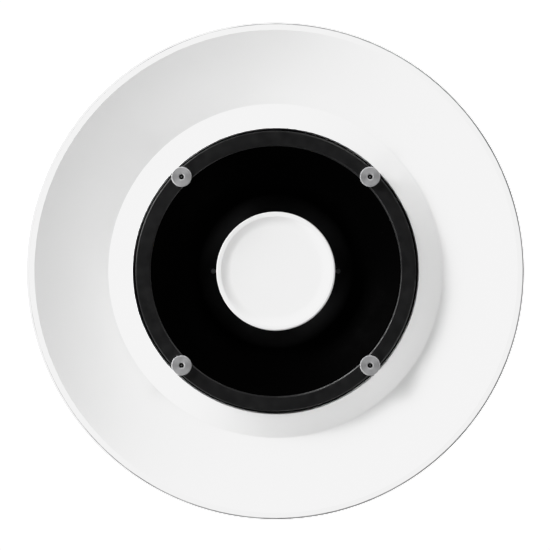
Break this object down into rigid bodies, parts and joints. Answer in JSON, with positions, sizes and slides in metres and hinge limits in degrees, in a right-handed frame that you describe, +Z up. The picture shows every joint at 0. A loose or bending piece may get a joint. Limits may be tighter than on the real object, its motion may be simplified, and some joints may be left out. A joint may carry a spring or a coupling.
{
  "type": "ceiling air diffuser",
  "caption": "Round ceiling air diffuser: white concave dish with a raised collar, bolted black clamp ring, black nozzle and a screw-adjusted white centre disc on a duct spigot.",
  "frame": {"origin": "on the duct axis, at the lower end of the spigot's plain wall, where the seal's groove begins", "axes": "+Z up along the duct axis, away from the room; the visible face looks down; the bridge bar runs along X"},
  "size_m": [0.3981, 0.3982, 0.096],
  "materials": {
    "white_coat": "fine satin powder coat",
    "black_coat": "semi-matte black coat",
    "black_plastic": "deep black, satin",
    "turned_steel": "face-turned, satin",
    "galvanised": "galvanised sheet",
    "zinc": "bright zinc plate",
    "aluminium": "plain drawn",
    "brass": "turned",
    "black_rubber": "matte",
    "grey_foam": "closed-cell foam",
    "spring_steel": "phosphated"
  },
  "bodies": {
    "housing": {"dish": "white_coat", "clamp_ring": "black_coat", "nozzle": "black_plastic", "clamp_bolts": "turned_steel", "duct_spigot": "galvanised", "hanger_brackets": "galvanised", "bridge": "galvanised", "bolt_washers": "zinc", "bolt_nuts": "zinc", "bush_nut": "zinc", "lock_nut": "zinc", "bridge_rivets": "aluminium", "spindle_bush": "brass", "duct_seal": "black_rubber", "nozzle_gasket": "black_rubber", "ceiling_gasket": "grey_foam"},
    "seal_carrier": {"seal_plate": "galvanised", "disc_seal": "black_rubber"},
    "disc": {"valve_disc": "white_coat", "disc_hub": "brass", "spindle": "zinc", "spindle_stop": "zinc", "seal_clip": "spring_steel"}
  },
  "joints": [
    {"name": "valve_lift", "type": "slide", "parent": "housing", "child": "seal_carrier", "axis": [0, 0, 1], "range_m": [-0.008, 0.012]},
    {"name": "valve_turn", "type": "hinge", "parent": "seal_carrier", "child": "disc", "pos_m": [0, 0, 0], "axis": [0, 0, 1], "range_deg": [-720, 1080]}
  ],
  "couplings": [
    {"joint": "valve_lift", "follows": "valve_turn", "m_per_rad": 0.0006366}
  ]
}
